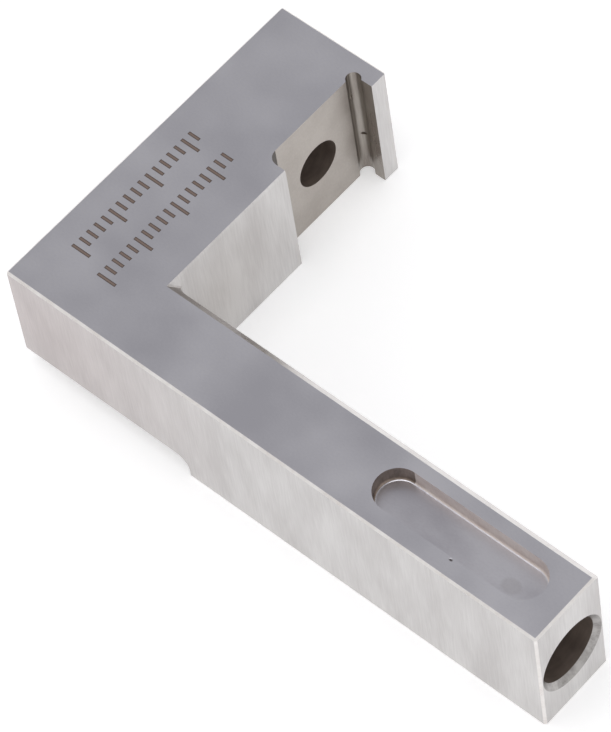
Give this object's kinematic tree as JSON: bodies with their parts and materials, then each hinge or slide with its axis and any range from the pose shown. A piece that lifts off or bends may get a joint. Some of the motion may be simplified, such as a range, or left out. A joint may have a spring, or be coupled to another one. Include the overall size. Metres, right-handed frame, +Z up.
{
  "type": "machined angle arm",
  "caption": "One-piece machined L-shaped arm: short thick leg with a lipped clamp seat and bolt hole, long narrow arm with a shallow pocket and a bored end.",
  "frame": {"origin": "middle of the bounding box, on the plane of the underside that it stands on", "axes": "+X along the arm towards its bored end, +Y along the leg towards its lip, +Z up out of the pocketed top face"},
  "size_m": [0.0826, 0.05, 0.0195],
  "materials": {
    "machined_metal": "satin, ground and milled"
  },
  "bodies": {
    "root": {"angle_arm": "machined_metal"}
  },
  "joints": []
}
